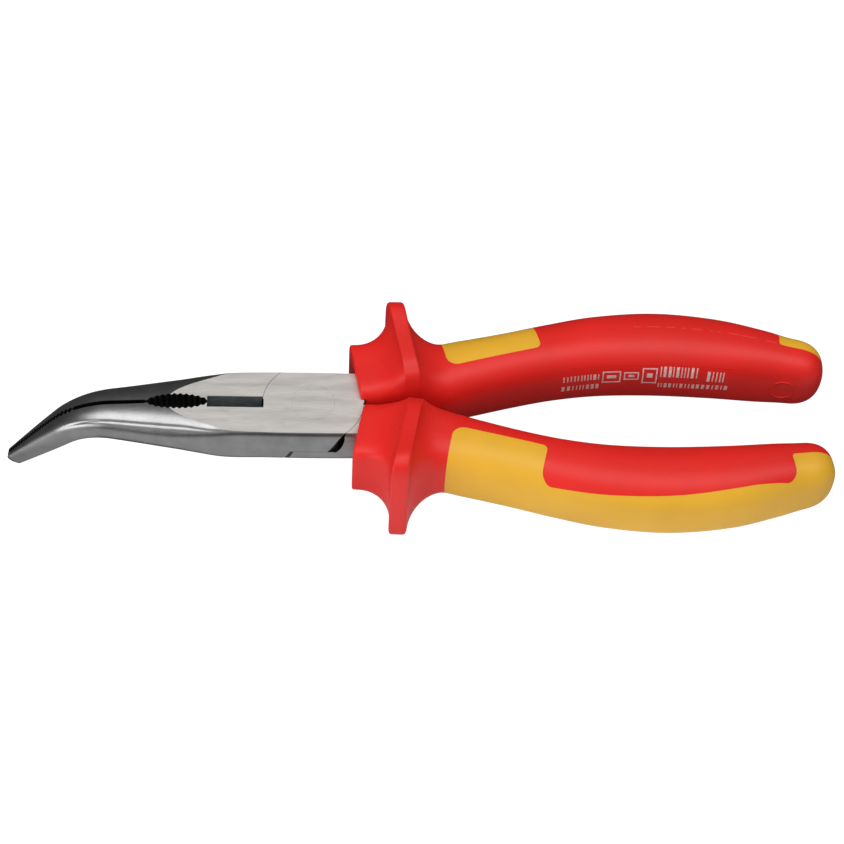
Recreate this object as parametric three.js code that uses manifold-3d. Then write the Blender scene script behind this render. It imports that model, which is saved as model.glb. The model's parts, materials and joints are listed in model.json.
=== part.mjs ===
// Insulated bent-nose pliers, 200 mm class: two forged steel halves on one flush rivet, each
// handle carrying a yellow inner sleeve and a red outer grip with a finger guard.
// Millimetres. +X runs from the pivot to the handles, -X to the nose, +Y across the jaws,
// +Z out of the front ground face. The nose bends down, to -Z. The origin is on the pivot axis
// in the rear ground face. The lower handle is made like the upper one and turned 180 degrees
// about the X axis through the joint's middle; they differ only in how far each grip reaches.
import * as THREE from "three";
import { mergeVertices } from "three/addons/utils/BufferGeometryUtils.js";
import Module from "manifold-3d";

const wasm = await Module();
wasm.setup();

// ---- driving dimensions ----
const THICKNESS = 10.4; // between the two ground faces
const PARTING_GAP = 0.3; // between the closed jaws
const LAYER_GAP = 0.2; // between the two layers of the lap joint
const FACE = THICKNESS / 2;

const RIVET = { headRadius: 5.15, shankRadius: 4, shankHalf: 3, clearance: 0.06, sides: 48 };

// The lap joint: each half has a round boss that turns in a pocket of the other half. Radii are
// given at the ground face and at the lap plane, which lies nearer the rear face. A boss narrows
// to its neck a little below its ground face.
const LAP_PLANE = -1.3;
const FRONT_BOSS = { face: 12, neck: 11, lap: 10.45, pocketFace: 12.15, pocketLap: 11.35 };
const REAR_BOSS = { face: 11.4, neck: 11.1, lap: 10.85, pocketFace: 12, pocketLap: 11.6 };
const NECK_DEPTH = 1.6;
const BOSS_SIDES = 64;

const NOSE = { bendStart: 47.5, bendRadius: 18, bendAngle: THREE.MathUtils.degToRad(43), tip: 80.3 };
const CUTTER = { from: 11.75, to: 25.2, halfWidthAtFace: 1.6 };
const PIPE_GRIP = { centre: 32.3, halfLength: 7.1, halfHeight: 2.4, teeth: 10, depth: 0.48 };
const FINE_TEETH = { from: 56, pitch: 1.06, depth: 0.7 };
const NOSE_RELIEF = 0.42; // each jaw is set back this far between the pipe grip and the fine teeth

// Closed nose and head, by distance from the pivot towards the tip (negative: towards the
// handles): half width, half depth of the forging before grinding, and corner exponent.
const HEAD = [
  { s: -17, width: 9.6, depth: 6.1, corner: 6.4 },
  { s: 0, width: 9.85, depth: 6.1, corner: 6.4 },
  { s: 15, width: 9.7, depth: 6.05, corner: 6.4 },
  { s: 20, width: 9.62, depth: 5.9, corner: 6 },
  { s: 24, width: 9.5, depth: 5.6, corner: 4.7 },
  { s: 30, width: 9.0, depth: 5.45, corner: 3.2 },
  { s: 36, width: 8.3, depth: 5.1, corner: 2.7 },
  { s: 46, width: 6.7, depth: 4.4, corner: 2.6 },
  { s: 56, width: 5.15, depth: 3.85, corner: 2.7 },
  { s: 66, width: 3.8, depth: 3.3, corner: 3.1 },
  { s: 79.2, width: 1.8, depth: 2.1, corner: 4.1 },
  { s: 80.3, width: 1.3, depth: 1.6, corner: 4.2 },
];
// The head's rear edges are rounder than its front ones, fading out where the nose begins.
const REAR_EDGE = { depth: 5.5, corner: 6, fullTo: 12, fadesBy: 26 };

// Outer surface of the upper grip, by X of its centre line: Y of the centre line, half width
// across, half depth, corner exponents outside and inside, and tilt of the section in degrees.
const GRIP = [
  { x: 10.5, y: 8.9, width: 8.4, depth: 7.8, outside: 8, inside: 5, tilt: 10.2 },
  { x: 16, y: 9.2, width: 8.5, depth: 8.0, outside: 7, inside: 4.5, tilt: 10.3 },
  { x: 22.9, y: 9.7, width: 8.5, depth: 8.2, outside: 5, inside: 3, tilt: 10.4 },
  { x: 31, y: 10.4, width: 8.5, depth: 8.8, outside: 3, inside: 2.8, tilt: 10.8 },
  { x: 36.8, y: 12, width: 8.4, depth: 9.1, outside: 2.6, inside: 2.6, tilt: 12.5 },
  { x: 47.7, y: 15, width: 8.1, depth: 9.3, outside: 2.5, inside: 2.5, tilt: 14 },
  { x: 58, y: 17.7, width: 8.35, depth: 9.3, outside: 2.5, inside: 2.5, tilt: 12.5 },
  { x: 69.5, y: 19.9, width: 8.95, depth: 9.5, outside: 2.5, inside: 2.5, tilt: 7.5 },
  { x: 84, y: 20.8, width: 9.45, depth: 9.6, outside: 2.5, inside: 2.5, tilt: 0 },
  { x: 98.5, y: 19.7, width: 8.9, depth: 9.5, outside: 2.5, inside: 2.5, tilt: -8 },
  { x: 110, y: 17.6, width: 7.5, depth: 9.1, outside: 2.6, inside: 2.6, tilt: -9 },
  { x: 117, y: 16.2, width: 6.6, depth: 8.3, outside: 2.7, inside: 2.7, tilt: -7 },
  { x: 125.6, y: 14.8, width: 6.3, depth: 8.0, outside: 2.7, inside: 2.7, tilt: -6 },
];
const GRIP_END = { length: 7.6, power: 2.4 }; // the rounded end

// Finger guard: a crest across the grip with a concave flank on each side. It widens by the flare
// towards its outer end, and becomes a low mound round the inner side. The change from crest to
// mound lies between two cosines of the angle round the section, and the crest is squarer.
const GUARD = {
  x: 22.9, crestHalf: 1.75, flare: 0.45, front: 8.6, back: 8.4, outward: 8.2, deep: 7,
  innerDeep: 4.6, moundEnds: -0.4, crestBegins: 0.5, squarer: 3,
};

// Yellow shows where the red grip is cut away: two wings that wrap over the faces, joined by a
// strip along the outside, and a tail round the end. A wing reaches to its offset from the centre
// line, positive outwards, and the strip begins at a share of the half width.
const WINDOW = {
  start: 32.6, wingEnd: 54.7, wing: -1.8, startCorner: 3, wingCorner: 1.4, innerCorner: 2.6,
  tailCorner: 0.8,
};
const STRIP = [
  { x: 50, share: 0.88 },
  { x: 58, share: 0.87 },
  { x: 68, share: 0.83 },
  { x: 84, share: 0.745 },
  { x: 101, share: 0.67 },
  { x: 107, share: 0.73 },
  { x: 114, share: 0.85 },
  { x: 130, share: 0.85 },
];

// What differs between the grips: how far each has crept along its tang near the mouth, where it
// ends, and where its yellow tail begins.
const UPPER = { seat: -0.55, end: 125.4, tailStart: 113.6, tail: 0.6 };
const LOWER = { seat: 0.35, end: 124, tailStart: 112.6, tail: -0.8 };
const SEAT_FADE = { from: 30, to: 50 };

const SKIN = 1; // thickness of the red grip over the yellow sleeve
const SKIN_GAP = 0.3;
const CORE = { from: 14.5, short: 2.3 }; // the sleeve stops short of the grip's end

// Steel tang inside the upper grip.
const TANG = [
  { x: 5, y: 5.8, width: 4.1, depth: 4.6 },
  { x: 14, y: 6.1, width: 4.1, depth: 4.5 },
  { x: 24, y: 8.2, width: 3.9, depth: 4.2 },
  { x: 36.8, y: 11.9, width: 3.6, depth: 3.8 },
  { x: 55, y: 17.1, width: 3.3, depth: 3.3 },
  { x: 76, y: 20.5, width: 3.1, depth: 3.0 },
  { x: 95, y: 20.1, width: 2.9, depth: 2.8 },
  { x: 108, y: 18.0, width: 2.5, depth: 2.6 },
];
const TANG_CORNER = 4;
const STEEL_CLEARANCE = 0.3; // between a grip and the steel it covers
const SHANK = { from: 12.2, end: 17, inner: 1.7, outer: 9.9 }; // root of the tang

const FULL = 60; // half size of a block that reaches past everything

// ---- curves and lofts ----

// Smooth interpolation of one field of a table of rows, by the row's key.
function along(rows, key, field) {
  const at = rows.map((row) => row[key]);
  const value = rows.map((row) => row[field]);
  const slope = at.map((_, i) => {
    const a = Math.max(i - 1, 0);
    const b = Math.min(i + 1, at.length - 1);
    return (value[b] - value[a]) / (at[b] - at[a]);
  });
  return (x) => {
    const last = at.length - 2;
    let i = at.findIndex((_, j) => j === last || x < at[j + 1]);
    if (i < 0) i = last;
    const h = at[i + 1] - at[i];
    const t = THREE.MathUtils.clamp((x - at[i]) / h, 0, 1);
    const u = 1 - t;
    return (
      value[i] * u * u * (1 + 2 * t) +
      value[i + 1] * t * t * (3 - 2 * t) +
      h * t * u * (slope[i] * u - slope[i + 1] * t)
    );
  };
}

function fieldsOf(rows, key, fields) {
  return Object.fromEntries(fields.map((field) => [field, along(rows, key, field)]));
}

function range(from, to, count) {
  return Array.from({ length: count + 1 }, (_, i) => from + ((to - from) * i) / count);
}

// One point of a superellipse: angle 0 is +u, 90 degrees is +v.
function superellipse(angle, halfU, halfV, exponent) {
  const c = Math.cos(angle);
  const s = Math.sin(angle);
  const u = Math.sign(c) * Math.abs(c) ** (2 / exponent) * halfU;
  const v = Math.sign(s) * Math.abs(s) ** (2 / exponent) * halfV;
  return [u, v];
}

// A closed geometry through rings of equal length, with a fan over each end.
function loft(rings) {
  const count = rings[0].length;
  const points = rings.flat();
  const centreOf = (ring) =>
    ring.reduce((sum, p) => sum.add(p), new THREE.Vector3()).divideScalar(ring.length);
  const first = points.push(centreOf(rings[0])) - 1;
  const last = points.push(centreOf(rings.at(-1))) - 1;
  const faces = [];
  for (let r = 0; r + 1 < rings.length; r++) {
    for (let k = 0; k < count; k++) {
      const a = r * count + k;
      const b = r * count + ((k + 1) % count);
      faces.push(a, b, b + count, a, b + count, a + count);
    }
  }
  const end = (rings.length - 1) * count;
  for (let k = 0; k < count; k++) {
    const next = (k + 1) % count;
    faces.push(first, next, k, last, end + k, end + next);
  }
  return new THREE.BufferGeometry().setFromPoints(points).setIndex(faces);
}

function solidOf(geometry) {
  const bare = geometry.clone();
  bare.deleteAttribute("normal");
  bare.deleteAttribute("uv");
  const merged = mergeVertices(bare, 1e-5);
  const vertProperties = merged.attributes.position.array;
  const solid = (triVerts) =>
    new wasm.Manifold(new wasm.Mesh({ numProp: 3, vertProperties, triVerts }));
  const made = solid(new Uint32Array(merged.index.array));
  return made.volume() > 0 ? made : solid(new Uint32Array(merged.index.array).reverse());
}

function geometryOf(solid) {
  const mesh = solid.getMesh();
  return new THREE.BufferGeometry()
    .setAttribute("position", new THREE.BufferAttribute(mesh.vertProperties, 3))
    .setIndex(new THREE.BufferAttribute(mesh.triVerts, 1));
}

// A prism with its outline in XY, from one Z to another.
function prism(points, zFrom, zTo) {
  const shape = new THREE.Shape(points.map(([x, y]) => new THREE.Vector2(x, y)));
  const geometry = new THREE.ExtrudeGeometry(shape, { depth: zTo - zFrom, bevelEnabled: false });
  return solidOf(geometry.translate(0, 0, zFrom));
}

function block(xFrom, xTo, yFrom, yTo, zFrom, zTo) {
  const box = new THREE.BoxGeometry(xTo - xFrom, yTo - yFrom, zTo - zFrom);
  return solidOf(box.translate((xFrom + xTo) / 2, (yFrom + yTo) / 2, (zFrom + zTo) / 2));
}

// A solid of revolution about Z from [radius, z] pairs that start and end on the axis.
function turned(profile, sides) {
  const points = profile.map(([r, z]) => new THREE.Vector2(r, z));
  return solidOf(new THREE.LatheGeometry(points, sides).rotateX(Math.PI / 2));
}

// ---- steel ----

// Closed head and nose before bending, both halves together, rounder towards rearSide.
function headEnvelope(rearSide) {
  const f = fieldsOf(HEAD, "s", ["width", "depth", "corner"]);
  const stations = [
    ...range(-17, 18, 2),
    ...range(20, NOSE.bendStart - 1.5, 13),
    ...range(NOSE.bendStart, NOSE.tip - 1.1, 15),
    NOSE.tip - 0.4,
    NOSE.tip,
  ];
  const sides = 40;
  const ring = (s) => {
    const share = (REAR_EDGE.fadesBy - s) / (REAR_EDGE.fadesBy - REAR_EDGE.fullTo);
    return range(0, 2 * Math.PI, sides)
      .slice(0, sides)
      .map((angle) => {
        const rear = Math.sin(angle) * rearSide > 0 ? THREE.MathUtils.clamp(share, 0, 1) : 0;
        const depth = THREE.MathUtils.lerp(f.depth(s), REAR_EDGE.depth, rear);
        const corner = THREE.MathUtils.lerp(f.corner(s), REAR_EDGE.corner, rear);
        const [y, z] = superellipse(angle, f.width(s), depth, corner);
        return new THREE.Vector3(-s, y, z);
      });
  };
  return solidOf(loft(stations.map(ring))).intersect(
    block(-FULL * 2, FULL, -FULL, FULL, -FACE, FACE),
  );
}

// Depth of the lower jaw's gripping face below the parting plane, as [s, y] points.
function gripProfile() {
  const points = [[0, -PARTING_GAP / 2]];
  points.push([CUTTER.to, -PARTING_GAP / 2]);
  const { centre, halfLength, halfHeight, teeth, depth } = PIPE_GRIP;
  const pitch = (2 * halfLength) / teeth;
  for (let i = 0; i <= 2 * teeth; i++) {
    const s = centre - halfLength + (i * pitch) / 2;
    const share = Math.sqrt(Math.max(0, 1 - ((s - centre) / (halfLength * 1.04)) ** 2));
    const crest = i % 2 === 0;
    const height = halfHeight * share - (crest ? depth : 0);
    points.push([s, -Math.max(height, PARTING_GAP)]);
  }
  points.push([centre + halfLength + 1, -PARTING_GAP / 2 - NOSE_RELIEF]);
  points.push([FINE_TEETH.from - FINE_TEETH.pitch / 2, -PARTING_GAP / 2 - NOSE_RELIEF]);
  for (let s = FINE_TEETH.from; s < NOSE.tip + FINE_TEETH.pitch; s += FINE_TEETH.pitch) {
    points.push([s, -PARTING_GAP / 2]);
    points.push([s + FINE_TEETH.pitch / 2, -PARTING_GAP / 2 - FINE_TEETH.depth]);
  }
  return points;
}

// The V cut on each face that leaves a cutting edge in the middle of the jaw.
function cutterBevel(side) {
  const { from, to, halfWidthAtFace } = CUTTER;
  const reach = FACE + 2;
  const rise = (halfWidthAtFace / FACE) * reach;
  const wedge = new THREE.Shape([
    new THREE.Vector2(1, 0),
    new THREE.Vector2(-PARTING_GAP / 2, 0),
    new THREE.Vector2(-rise, reach),
    new THREE.Vector2(1, reach),
  ]);
  const geometry = new THREE.ExtrudeGeometry(wedge, { depth: to - from + 4, bevelEnabled: false })
    .applyMatrix4(new THREE.Matrix4().makeBasis(
      new THREE.Vector3(0, 1, 0),
      new THREE.Vector3(0, 0, side),
      new THREE.Vector3(side, 0, 0),
    ));
  return solidOf(geometry.translate(side > 0 ? -to : 4 - from, 0, 0));
}

// The round boss in the upper layer, narrower below its ground face.
function bossSolid(size, lap) {
  const rise = (size.face - size.neck) / NECK_DEPTH;
  const profile = [
    [0, lap],
    [size.lap, lap],
    [size.neck, FACE - NECK_DEPTH],
    [size.face + rise, FACE + 1],
    [0, FACE + 1],
  ];
  return turned(profile, BOSS_SIDES);
}

// The round opening in the lower layer for the other half's boss.
function pocketSolid(size, lap) {
  const rise = (size.pocketFace - size.pocketLap) / (FACE + lap);
  const profile = [
    [0, -FACE - 1],
    [size.pocketFace + rise, -FACE - 1],
    [size.pocketLap, lap],
    [0, lap],
  ];
  return turned(profile, BOSS_SIDES);
}

// Bends the nose of a straight half about an axis along Y, up or down.
function bend(geometry, direction) {
  const { bendStart, bendRadius, bendAngle } = NOSE;
  const position = geometry.attributes.position;
  for (let i = 0; i < position.count; i++) {
    const s = -position.getX(i);
    if (s <= bendStart) continue;
    const angle = Math.min((s - bendStart) / bendRadius, bendAngle);
    const beyond = s - bendStart - angle * bendRadius;
    const radius = bendRadius - direction * position.getZ(i);
    const rise = bendRadius - radius * Math.cos(angle) + beyond * Math.sin(angle);
    position.setX(i, -bendStart - radius * Math.sin(angle) - beyond * Math.cos(angle));
    position.setZ(i, direction * rise);
  }
  return geometry;
}

function tangSolid(extra) {
  const f = fieldsOf(TANG, "x", ["y", "width", "depth"]);
  const sides = 16;
  const ring = (x) =>
    range(0, 2 * Math.PI, sides)
      .slice(0, sides)
      .map((angle) => {
        const [y, z] = superellipse(angle, f.width(x) + extra, f.depth(x) + extra, TANG_CORNER);
        return new THREE.Vector3(x, f.y(x) + y, z);
      });
  return solidOf(loft(range(TANG[0].x - extra, TANG.at(-1).x + extra, 14).map(ring)));
}

// One boring through a half, for the rivet: countersunk at each ground face.
function rivetProfile(extra, end) {
  const { headRadius, shankRadius, shankHalf } = RIVET;
  const perMm = (headRadius - shankRadius) / (FACE - shankHalf);
  const endRadius = headRadius + extra + perMm * (end - FACE);
  return [
    [0, -end],
    [endRadius, -end],
    [shankRadius + extra, -shankHalf],
    [shankRadius + extra, shankHalf],
    [endRadius, end],
    [0, end],
  ];
}

// One steel half before bending and in its own frame, where its round boss is the upper layer
// of the joint: lower jaw, boss, and the upper handle's tang.
function steelHalf(own, other, lap, rearSide) {
  const outline = gripProfile().map(([s, y]) => [-s, y]);
  const lowerJaw = prism([...outline, [-FULL * 2, -FULL], [0, -FULL]], -FULL, FULL);
  const shank = block(0, SHANK.from, PARTING_GAP / 2, FULL, -FULL, FULL)
    .add(block(SHANK.from - 1, FULL, SHANK.inner, FULL, -FULL, FULL));
  const boss = bossSolid(own, lap + LAYER_GAP / 2);
  const pocket = pocketSolid(other, lap + LAYER_GAP / 2);
  const bevel = block(-CUTTER.to, -CUTTER.from, -FULL, FULL, -FULL, FULL);
  return headEnvelope(rearSide)
    .intersect(lowerJaw.add(shank).add(boss))
    .add(tangSolid(0).intersect(shank))
    .subtract(pocket)
    .subtract(cutterBevel(1).intersect(bevel))
    .subtract(cutterBevel(-1).intersect(bevel))
    .subtract(turned(rivetProfile(RIVET.clearance, FACE + 1), RIVET.sides));
}

// ---- grips ----

// How far down a flank of the finger guard this place is, 0 at the crest's edge to 1.
function guardFlank(x) {
  const reach = x < GUARD.x ? GUARD.front : GUARD.back;
  return THREE.MathUtils.clamp((Math.abs(x - GUARD.x) - GUARD.crestHalf) / reach, 0, 1);
}

// How far the finger guard stands out at this distance along the grip, from 0 to 1.
function guardShare(x) {
  return 1 - Math.sqrt(1 - (1 - guardFlank(x)) ** 2);
}

// Stations close together where the guard and the rounded end curve fastest.
function gripStations(from, to, end) {
  const crest = GUARD.crestHalf;
  const flank = [0, 0.01, 0.04, 0.1, 0.2, 0.35, 0.55, 0.8];
  const all = [
    ...flank.map((t) => GUARD.x - crest - t * GUARD.front),
    ...flank.map((t) => GUARD.x + crest + t * GUARD.back),
    ...range(36, 110, 11),
    ...[0, 0.35, 0.6, 0.8, 0.92, 0.985].map((t) => end - (1 - t) * GRIP_END.length),
  ];
  const inside = all.filter((x) => x > from + 0.2 && x < to - 0.2).sort((a, b) => a - b);
  return [from, ...inside, to];
}

// Share of the creep along the tang that is left at this distance along the grip.
function seatShare(x) {
  return 1 - THREE.MathUtils.smoothstep(x, SEAT_FADE.from, SEAT_FADE.to);
}

// Share of the section that is left at this distance along the rounded end.
function endRounding(x, end) {
  const share = THREE.MathUtils.clamp((x - end) / GRIP_END.length + 1, 0, 0.995);
  return (1 - share ** GRIP_END.power) ** (1 / GRIP_END.power);
}

// A grip's outer surface, moved in by inset.
function gripSolid(handle, inset, from, to, sides) {
  const f = fieldsOf(GRIP, "x", ["y", "width", "depth", "outside", "inside", "tilt"]);
  const ring = (x) => {
    const guard = inset > 0 ? 0 : guardShare(x);
    const mound = inset > 0 ? 0 : GUARD.innerDeep * (1 - guardFlank(x)) ** 2;
    const round = endRounding(x, handle.end - inset);
    const tilt = THREE.MathUtils.degToRad(f.tilt(x));
    return range(0, 2 * Math.PI, sides)
      .slice(0, sides)
      .map((angle) => {
        const cosine = Math.cos(angle);
        const outward = cosine > 0 ? guard * GUARD.outward : 0;
        const outer = THREE.MathUtils.smoothstep(cosine, GUARD.moundEnds, GUARD.crestBegins);
        const deep = outer * guard * GUARD.deep + (1 - outer) * mound;
        const share = (1 + cosine) / 2;
        const squarer = guard * GUARD.squarer;
        const exponent = f.inside(x) * (1 - share) + (f.outside(x) + squarer) * share;
        const halfU = (f.width(x) + outward) * round - inset;
        const [u, z] = superellipse(angle, halfU, (f.depth(x) + deep) * round - inset, exponent);
        const flare = Math.sign(x - GUARD.x) * GUARD.flare * guard * Math.max(cosine, 0);
        const place = x + flare + handle.seat * seatShare(x);
        return new THREE.Vector3(place - u * Math.sin(tilt), f.y(x) + u * Math.cos(tilt), z);
      });
  };
  return solidOf(loft(gripStations(from, to, handle.end).map(ring)));
}

// A point at this X of the centre line and this distance outwards from it.
function fromCentre(x, offset) {
  const f = fieldsOf(GRIP, "x", ["y", "tilt"]);
  const tilt = THREE.MathUtils.degToRad(f.tilt(x));
  return [x - offset * Math.sin(tilt), f.y(x) + offset * Math.cos(tilt)];
}

// A rounded corner of an outline, turning from one direction to the next.
function cornerArc(x, y, radius, fromDegrees, toDegrees) {
  return range(fromDegrees, toDegrees, 3).map((degrees) => {
    const angle = THREE.MathUtils.degToRad(degrees);
    return [x + radius * Math.cos(angle), y + radius * Math.sin(angle)];
  });
}

// The yellow window seen along Z, larger all round by extra.
function windowPrism(handle, extra) {
  const start = WINDOW.start + handle.seat - extra;
  const wingEnd = WINDOW.wingEnd + extra;
  const tail = handle.tailStart - extra;
  const low = WINDOW.wing - extra;
  const tailLow = handle.tail - extra;
  const first = WINDOW.startCorner + extra;
  const second = WINDOW.wingCorner + extra;
  const inner = WINDOW.innerCorner - extra;
  const last = WINDOW.tailCorner + extra;
  const width = along(GRIP, "x", "width");
  const share = along(STRIP, "x", "share");
  const strip = (x) => share(x) * width(x) - extra;
  const past = 24;
  const beyond = 130;
  const outline = [
    [start, past],
    ...cornerArc(start + first, low + first, first, 180, 270),
    ...range(start + first + 3, wingEnd - second - 3, 3).map((x) => [x, low]),
    ...cornerArc(wingEnd - second, low + second, second, 270, 360),
    ...cornerArc(wingEnd + inner, strip(wingEnd + inner) - inner, inner, 180, 90),
    ...range(62, 108, 10).map((x) => [x, strip(x)]),
    ...cornerArc(tail - inner, strip(tail - inner) - inner, inner, 90, 0),
    ...cornerArc(tail + last, tailLow + last, last, 180, 270),
    [121, tailLow],
    [beyond, tailLow],
    [beyond, past],
    ...range(start, 115, 8).reverse().map((x) => [x, past]),
  ];
  return prism(outline.map(([x, offset]) => fromCentre(x, offset)), -20, 20);
}

// Room for the steel inside a grip: the tang, its root, and both turning bosses.
function steelRoom() {
  const gap = STEEL_CLEARANCE;
  const height = FACE + gap;
  const root = block(0, SHANK.end + gap, SHANK.inner - gap, SHANK.outer + gap, -height, height);
  const radius = FRONT_BOSS.face + 2 * gap;
  const bosses = turned([[0, -height], [radius, -height], [radius, height], [0, height]], BOSS_SIDES);
  return tangSolid(gap).add(root).add(bosses);
}

function gripPieces(handle) {
  const room = steelRoom();
  const { from } = CORE;
  const to = handle.end - CORE.short;
  const outer = gripSolid(handle, 0, GRIP[0].x, handle.end, 36);
  const sleeve = gripSolid(handle, SKIN, from, to, 20);
  const sleeveRoom = gripSolid(handle, SKIN - SKIN_GAP, from - SKIN_GAP, to + SKIN_GAP, 20);
  const shell = outer.subtract(sleeveRoom).subtract(windowPrism(handle, SKIN_GAP)).subtract(room);
  const core = outer.intersect(windowPrism(handle, 0)).add(sleeve).subtract(room);
  return { shell: geometryOf(shell), core: geometryOf(core) };
}

// ---- materials and assembly ----

const steel = new THREE.MeshStandardMaterial({ color: 0xb8b5b0, roughness: 0.35, metalness: 1 });
const rivetSteel = new THREE.MeshStandardMaterial({ color: 0xbcb9b4, roughness: 0.3, metalness: 1 });
const red = new THREE.MeshStandardMaterial({ color: 0xd8211d, roughness: 0.45, metalness: 0 });
const yellow = new THREE.MeshStandardMaterial({ color: 0xe9b233, roughness: 0.5, metalness: 0 });

function named(name, geometry, material) {
  const mesh = new THREE.Mesh(geometry, material);
  mesh.name = name;
  return mesh;
}

const frontSteel = bend(geometryOf(steelHalf(FRONT_BOSS, REAR_BOSS, LAP_PLANE, -1)), -1);
const rearSteel = bend(geometryOf(steelHalf(REAR_BOSS, FRONT_BOSS, -LAP_PLANE, 1)), 1);
const upperGrip = gripPieces(UPPER);
const lowerGrip = gripPieces(LOWER);
const rivet = geometryOf(turned(rivetProfile(0, FACE), RIVET.sides));

const frontHalf = new THREE.Group();
frontHalf.add(
  named("front_jaw_half", frontSteel, steel),
  named("pivot_rivet", rivet, rivetSteel),
  named("upper_grip_sleeve", upperGrip.core, yellow),
  named("upper_grip_shell", upperGrip.shell, red),
);

const rearHalf = new THREE.Group();
rearHalf.add(
  named("rear_jaw_half", rearSteel, steel),
  named("lower_grip_sleeve", lowerGrip.core, yellow),
  named("lower_grip_shell", lowerGrip.shell, red),
);
rearHalf.rotation.x = Math.PI;

const pliers = new THREE.Group();
pliers.add(frontHalf, rearHalf);
pliers.position.z = FACE;

const part = new THREE.Group();
part.add(pliers);
export default part;
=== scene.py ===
"""Insulated bent-nose pliers: fine surfaces, materials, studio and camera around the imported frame.

Shapes are worked out in millimetres in the front half's own frame, whose origin is the middle of
the joint: +X to the handles, -X to the nose, +Y to the upper handle, +Z out of the front face.
The rear half is made the same way and turned 180 degrees about the X axis. Every piece is scaled
to metres and moved onto the joint's place in the frame when it is finished.
"""

import json
import math
import random

import bmesh
import bpy
import numpy as np
from mathutils import Matrix, Vector


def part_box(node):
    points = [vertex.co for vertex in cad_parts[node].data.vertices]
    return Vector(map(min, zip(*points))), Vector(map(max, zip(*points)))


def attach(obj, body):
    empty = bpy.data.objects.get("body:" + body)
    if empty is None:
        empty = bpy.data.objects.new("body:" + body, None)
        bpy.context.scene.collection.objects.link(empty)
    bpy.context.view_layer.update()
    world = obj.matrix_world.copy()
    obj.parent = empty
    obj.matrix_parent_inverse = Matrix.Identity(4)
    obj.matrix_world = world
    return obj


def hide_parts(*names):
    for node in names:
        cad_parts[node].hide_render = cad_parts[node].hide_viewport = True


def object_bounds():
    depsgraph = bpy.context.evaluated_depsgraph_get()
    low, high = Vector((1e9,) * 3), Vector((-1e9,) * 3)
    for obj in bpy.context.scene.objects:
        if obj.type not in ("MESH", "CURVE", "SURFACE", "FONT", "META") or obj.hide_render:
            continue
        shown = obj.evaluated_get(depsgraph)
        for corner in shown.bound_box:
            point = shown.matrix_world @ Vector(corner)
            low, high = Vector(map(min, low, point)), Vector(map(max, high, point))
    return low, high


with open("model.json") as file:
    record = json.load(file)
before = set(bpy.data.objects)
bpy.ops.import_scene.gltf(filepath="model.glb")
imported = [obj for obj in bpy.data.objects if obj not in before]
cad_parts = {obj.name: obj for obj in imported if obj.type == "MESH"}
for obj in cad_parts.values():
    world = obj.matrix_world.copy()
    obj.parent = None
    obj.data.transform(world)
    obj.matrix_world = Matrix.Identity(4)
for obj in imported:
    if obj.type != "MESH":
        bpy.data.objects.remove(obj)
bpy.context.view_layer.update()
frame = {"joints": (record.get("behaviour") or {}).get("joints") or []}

MM = 0.001
JOINT = Vector(frame["joints"][0]["pos_m"])
FACE = (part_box("pivot_rivet")[1].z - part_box("pivot_rivet")[0].z) / 2 / MM  # half the thickness

# ---- driving dimensions in millimetres ----
PARTING_GAP = 0.3  # between the gripping faces of the closed jaws
LAYER_GAP = 0.08  # between the two layers of the lap joint
# The rivet is countersunk at both faces and is ground flush with them.
RIVET = {"head_radius": 5.15, "shank_radius": 4, "shank_half": 3, "clearance": 0.02}
LAP_PLANE = -1.3  # where the front half's boss meets the rear half's
# Each half has a round boss that turns in a pocket of the other half. Radii are given at the ground
# face and at the lap plane, and bulge hollows the pocket's wall.
FRONT_BOSS = {"face": 12, "lap": 10.45, "pocket_face": 12.1, "pocket_lap": 11.4, "bulge": 2.3}
REAR_BOSS = {"face": 11.4, "lap": 10.8, "pocket_face": 12.05, "pocket_lap": 11.15, "bulge": 0}

NOSE = {"bend_start": 47.5, "bend_radius": 18, "bend_angle": math.radians(43), "tip": 80.3}
TIP_CHAMFER = {"length": 1.3, "depth": 0.7}
# The cutter's V bevels, half_width being measured at the ground face.
CUTTER = {"from": 11.75, "to": 25.2, "half_width": 1.6}
# The oval of the pipe grip is drawn a little longer than its teeth run, so its ends stay open.
PIPE_GRIP = {
    "centre": 32.3, "half_length": 7.1, "half_height": 2.4, "teeth": 10, "depth": 0.48,
    "stretch": 1.04,
}
FINE_TEETH = {"from": 56, "pitch": 1.06, "depth": 0.7}
NOSE_RELIEF = 0.42  # how far each jaw's face is set back between the pipe grip and the fine teeth
RELIEF_STEP = 1

# Closed head and nose: distance from the pivot to the tip, half width, half depth, corner exponent.
HEAD = [
    (-17, 9.6, 6.1, 6.4),
    (0, 9.85, 6.1, 6.4),
    (15, 9.7, 6.05, 6.4),
    (20, 9.62, 5.9, 6),
    (24, 9.5, 5.6, 4.7),
    (30, 9.0, 5.45, 3.2),
    (36, 8.3, 5.1, 2.7),
    (46, 6.7, 4.4, 2.6),
    (56, 5.15, 3.85, 2.7),
    (66, 3.8, 3.3, 2.7),
    (80.3, 1.65, 2.05, 2.9),
]
# Spacing of the sections, closer along the nose where it bends.
HEAD_STEPS = {"coarse": 2.5, "coarse_to": 17, "fine": 0.6, "fine_from": 18}
# The head's rear edges are rounder than its front ones, fading out where the nose begins.
REAR_EDGE = {"depth": 5.5, "corner": 6, "full_to": 12, "fades_by": 26}
# A shallow crease that the forging die leaves along the nose, by angle up from the side.
CREASE = {
    "from": 19, "settled": 30, "to": 60, "fades_over": 12,
    "start_angle": 38, "angle": 43, "half_angle": 4.5, "depth": 0.15,
}

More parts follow.
